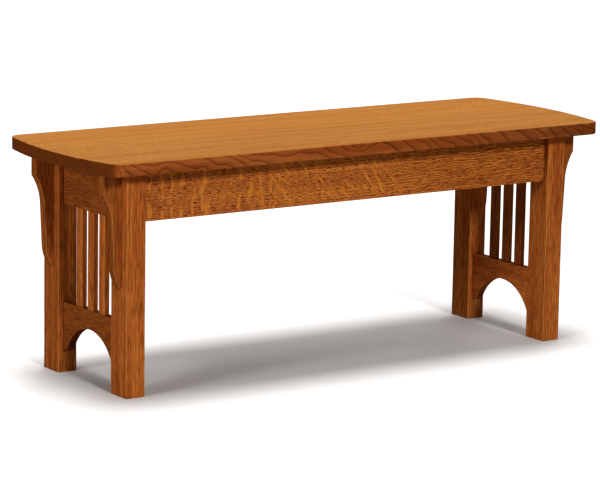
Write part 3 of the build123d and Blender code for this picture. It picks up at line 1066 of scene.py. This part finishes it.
# Partly stain and partly painted light and shade: the right row darker, the left one lighter
slat_stain_and_shade = {"left": 0.75, "right": 1.3}
slat_tenon = Vector((6 * mm, 14 * mm, 12 * mm))
for order, end in enumerate(("left", "right")):
    names = [f"slat_{end}_{place}" for place in ("front", "middle", "back")]
    first, second = (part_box(name) for name in names[:2])
    rail_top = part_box(f"end_rail_bottom_{end}")[1].z
    size = first[1] - first[0]
    centre = (first[0] + first[1]) / 2
    wood = stained_oak(
        f"quartersawn oak slats_{end}", middle(*names), "Z", slat_pith, "X",
        slope=slat_slope,
        stretch=GROUP_START["slats"] + order,
        stain={"strength": slat_stain_and_shade[end]},
        flecks=SMALL_FLECKS,
    )
    settings = {
        "Count": len(names),
        "First Place": (centre.x, centre.y, rail_top),
        "Pitch": second[0].y - first[0].y,
        "Width": size.y,
        "Thickness": size.x,
        "Edge Radius": slat_edge_radius,
        "Length": size.z - 2 * slat_tenon.z,
        "Tenon Width": slat_tenon.y,
        "Tenon Thickness": slat_tenon.x,
        "Tenon Length": slat_tenon.z,
        "Material": wood,
    }
    slats = grown(f"slats_{end}_oak", slat_row, slat_inputs, settings)
    flat_faces(slats)
    enter(slats, "frame_oak", *names)
    print(slats.name, len(slats.data.polygons), "faces")

# %% [markdown]
# ## The underside
#
# Nobody stains what nobody sees: the blocks, the cross rail, the buttons and the dowels are planed
# oak and turned beech, left bare. They are pale and dry, with the pores as thin brown dashes. They
# keep the frame's own meshes, because nothing under the seat needs soft edges.

# %% Bare pieces
BARE_STAIN = {
    "pale": "#C8A06C",
    "deep": "#B48A58",
    "rings": "#A87C4A",
    "flecks": "#D8B888",
    "pores": "#7E5A34",
    "pore depth": 0.5,
    "end": "#94703F",
    "worn edge highlight depth": 0.0,
}
bare_pith = (0.16, 0.05)
dowel_pith = (0.1, 0.1)


def left_bare(name, wood):
    """Give a frame piece its wood and leave its shape alone."""
    nodes[name].data.materials.clear()
    nodes[name].data.materials.append(wood)


bare_pieces = [f"corner_block_{corner}" for corner in corners] + ["cross_rail", "seat_buttons"]
for order, name in enumerate(bare_pieces):
    wood = stained_oak(
        f"bare oak {name}", middle(name), "Y", bare_pith, "X",
        stretch=GROUP_START["bare"] + order,
        stain=BARE_STAIN,
    )
    left_bare(name, wood)
beech = stained_oak(
    "bare beech", middle("corbel_dowels"), "X", dowel_pith, "Z",
    stretch=GROUP_START["dowels"],
    stain=BARE_STAIN,
)
left_bare("corbel_dowels", beech)
print(len(bare_pieces) + 1, "bare wooden nodes")

# %% [markdown]
# ## Screws
#
# The blocks, the buttons and the cross rail are held with zinc plated pan-head wood screws. Each has
# a flat seat under a domed head, a square hole for the driver and a point. One tree builds the
# screw and sets it at every point that it is given, turned the way the point's own arrow shows. So
# the screw is drawn once, and the frame says where the eighteen go. Zinc plate is dull and silvery,
# and tarnishes in small grey clouds, which tells the eye that it is plated and not polished.

# %% A tree that sets screws at points, with its sizes as inputs
set_screws = bpy.data.node_groups.new("set screws", "GeometryNodeTree")
set_screws.is_modifier = True
set_screws.interface.new_socket("Geometry", in_out="INPUT", socket_type="NodeSocketGeometry")
set_screws.interface.new_socket("Geometry", in_out="OUTPUT", socket_type="NodeSocketGeometry")
screw_inputs = open_inputs(set_screws, {
    "Length": NUMBER,
    "Shank Radius": NUMBER,
    "Point Length": NUMBER,
    "Head Radius": NUMBER,
    "Head Height": NUMBER,
    "Dome Share": NUMBER,
    "Drive Width": NUMBER,
    "Drive Depth": NUMBER,
    "Material": "NodeSocketMaterial",
})
print("set screws has", len(screw_inputs), "inputs")

# %% Head, shank and point
# Shares of the head: how wide its flat crown is, and how far the shank reaches into it
crown_share = 0.7
overlap_share = 0.5
round_sides = 24
tree = set_screws
given = add(tree, "NodeGroupInput").outputs


def round_part(tree, bottom, height, wide, narrow):
    """A round piece of the screw from one height to the next, wide below and narrow above."""
    radii = {"Radius Top": narrow, "Radius Bottom": wide, "Depth": height}
    part = add(tree, "GeometryNodeMeshCone", radii, fill_type="NGON")
    part.inputs["Vertices"].default_value = round_sides
    up = add(tree, "ShaderNodeCombineXYZ", {"Z": bottom})
    return add(tree, "GeometryNodeTransform", {"Geometry": part, "Translation": up})


# The head is drawn upward from its domed face, which lies below the seat
head, shank, point = given["Head Height"], given["Shank Radius"], given["Point Length"]
domed = add(tree, MATH, {0: head, 1: given["Dome Share"]}, operation="MULTIPLY")
rim = add(tree, MATH, {0: head, 1: domed}, operation="SUBTRACT")
face = add(tree, MATH, {0: head, 1: -1.0}, operation="MULTIPLY")
rim_start = add(tree, MATH, {0: rim, 1: -1.0}, operation="MULTIPLY")
crown = add(tree, MATH, {0: given["Head Radius"], 1: crown_share}, operation="MULTIPLY")
into_head = add(tree, MATH, {0: face, 1: overlap_share}, operation="MULTIPLY")
shank_length = add(tree, MATH, {0: given["Length"], 1: point}, operation="SUBTRACT")
shank_depth = add(tree, MATH, {0: shank_length, 1: into_head}, operation="SUBTRACT")
parts = [
    round_part(tree, face, domed, crown, given["Head Radius"]),
    round_part(tree, rim_start, rim, given["Head Radius"], given["Head Radius"]),
    round_part(tree, into_head, shank_depth, shank, shank),
    round_part(tree, shank_length, point, shank, 0.0),
]
whole = add(tree, "GeometryNodeMeshBoolean", {1: parts}, operation="UNION", solver="EXACT")
print("a screw is joined from", len(parts), "round parts")

# %% The driver's square hole, and a screw at every point
# The hole is cut by a box with its middle on the head's face, so the box is twice as deep
hole_depth = add(tree, MATH, {0: given["Drive Depth"], 1: 2.0}, operation="MULTIPLY")
hole_size = add(tree, "ShaderNodeCombineXYZ", {
    "X": given["Drive Width"],
    "Y": given["Drive Width"],
    "Z": hole_depth,
})
hole = add(tree, "GeometryNodeMeshCube", {"Size": hole_size})
down = add(tree, "ShaderNodeCombineXYZ", {"Z": face})
hole = add(tree, "GeometryNodeTransform", {"Geometry": hole, "Translation": down})
cut = {"Mesh 1": whole, "Mesh 2": [hole]}
screw = add(tree, "GeometryNodeMeshBoolean", cut, operation="DIFFERENCE", solver="EXACT")

arrow = add(tree, "GeometryNodeInputNamedAttribute", {"Name": "aim"}, data_type="FLOAT_VECTOR")
turned = add(tree, "FunctionNodeAlignRotationToVector", {"Vector": arrow.outputs["Attribute"]}, axis="Z")
placed = add(tree, "GeometryNodeInstanceOnPoints", {
    "Points": given["Geometry"],
    "Instance": screw,
    "Rotation": turned,
})
placed = add(tree, "GeometryNodeRealizeInstances", {"Geometry": placed})
placed = add(tree, "GeometryNodeSetMaterial", {"Geometry": placed, "Material": given["Material"]})
add(tree, "NodeGroupOutput", {"Geometry": placed})
print("set screws has", len(set_screws.nodes), "nodes")

# %% Zinc plate
tarnish_size = 1.5 * mm
tarnish_depth = 0.8
zinc_roughness = (0.28, 0.5)

zinc = bpy.data.materials.new("zinc plated steel")
zinc.use_nodes = True
tree = zinc.node_tree
tree.nodes.clear()
place = add(tree, "ShaderNodeTexCoord").outputs["Object"]
tarnish = add(tree, NOISE, {"Vector": place, "Scale": 1 / tarnish_size, "Detail": 3.0})
tint = layered(tree, linear("#C2C4C0"), ((tarnish, tarnish_depth, "#8E8B80"),))
gloss = add(tree, RANGE, {"Value": tarnish, "To Min": zinc_roughness[0], "To Max": zinc_roughness[1]})
plated = add(tree, "ShaderNodeBsdfPrincipled", {
    "Base Color": tint,
    "Metallic": 1.0,
    "Roughness": gloss,
})
add(tree, "ShaderNodeOutputMaterial", {"Surface": plated})
print(zinc.name, len(tree.nodes), "nodes")

# %% Where the frame seats each screw
head_height = 2.4 * mm
# Corners further from the middle line than this share of the width are the head's
head_share = 0.4


def separate_shapes(work):
    """The corners of each separate shape in a mesh, one list to a shape."""
    shapes, done = [], set()
    for start in work.verts:
        if start in done:
            continue
        shape, rim = set(), {start}
        while rim:
            shape |= rim
            rim = {edge.other_vert(vert) for vert in rim for edge in vert.link_edges} - shape
        done |= shape
        shapes.append([vert.co.copy() for vert in shape])
    return shapes


def screw_seats(name):
    """Where each screw of a frame node is seated, which way it is driven, and their one length."""
    work = bmesh.new()
    work.from_mesh(nodes[name].data)
    bmesh.ops.remove_doubles(work, verts=work.verts, dist=same_spot)
    shapes = separate_shapes(work)
    work.free()
    seats, aims = [], []
    for spots in shapes:
        low = Vector([min(spot[axis] for spot in spots) for axis in range(3)])
        high = Vector([max(spot[axis] for spot in spots) for axis in range(3)])
        centre, size = (low + high) / 2, high - low
        run = max(range(3), key=lambda axis: size[axis])
        across = (run + 1) % 3
        head_radius = head_share * size[across]
        head = [spot[run] for spot in spots if abs(spot[across] - centre[across]) > head_radius]
        way = 1 if sum(head) / len(head) < centre[run] else -1
        aim = Vector([way if axis == run else 0 for axis in range(3)])
        seats.append(centre + aim * (head_height - size[run] / 2))
        aims.append(aim)
    return seats, aims, size[run] - head_height


# %% Screws
SCREW_SIZES = {
    "Shank Radius": 2.0 * mm,
    "Point Length": 3.5 * mm,
    "Head Radius": 4.0 * mm,
    "Head Height": head_height,
    "Dome Share": 0.4,
    "Drive Width": 2.6 * mm,
    "Drive Depth": 1.4 * mm,
}
for name in ("button_screws", "block_screws", "cross_rail_screws"):
    seats, aims, length = screw_seats(name)
    points = bpy.data.meshes.new(name)
    points.from_pydata(seats, [], [])
    arrows = points.attributes.new("aim", "FLOAT_VECTOR", "POINT")
    for arrow, aim in zip(arrows.data, aims):
        arrow.vector = aim
    settings = {**SCREW_SIZES, "Length": length, "Material": zinc}
    screws = grown(f"{name}_zinc", set_screws, screw_inputs, settings, points)
    flat_faces(screws)
    enter(screws, "screw_steel", name)
    print(screws.name, len(seats), "screws,", len(screws.data.polygons), "faces")
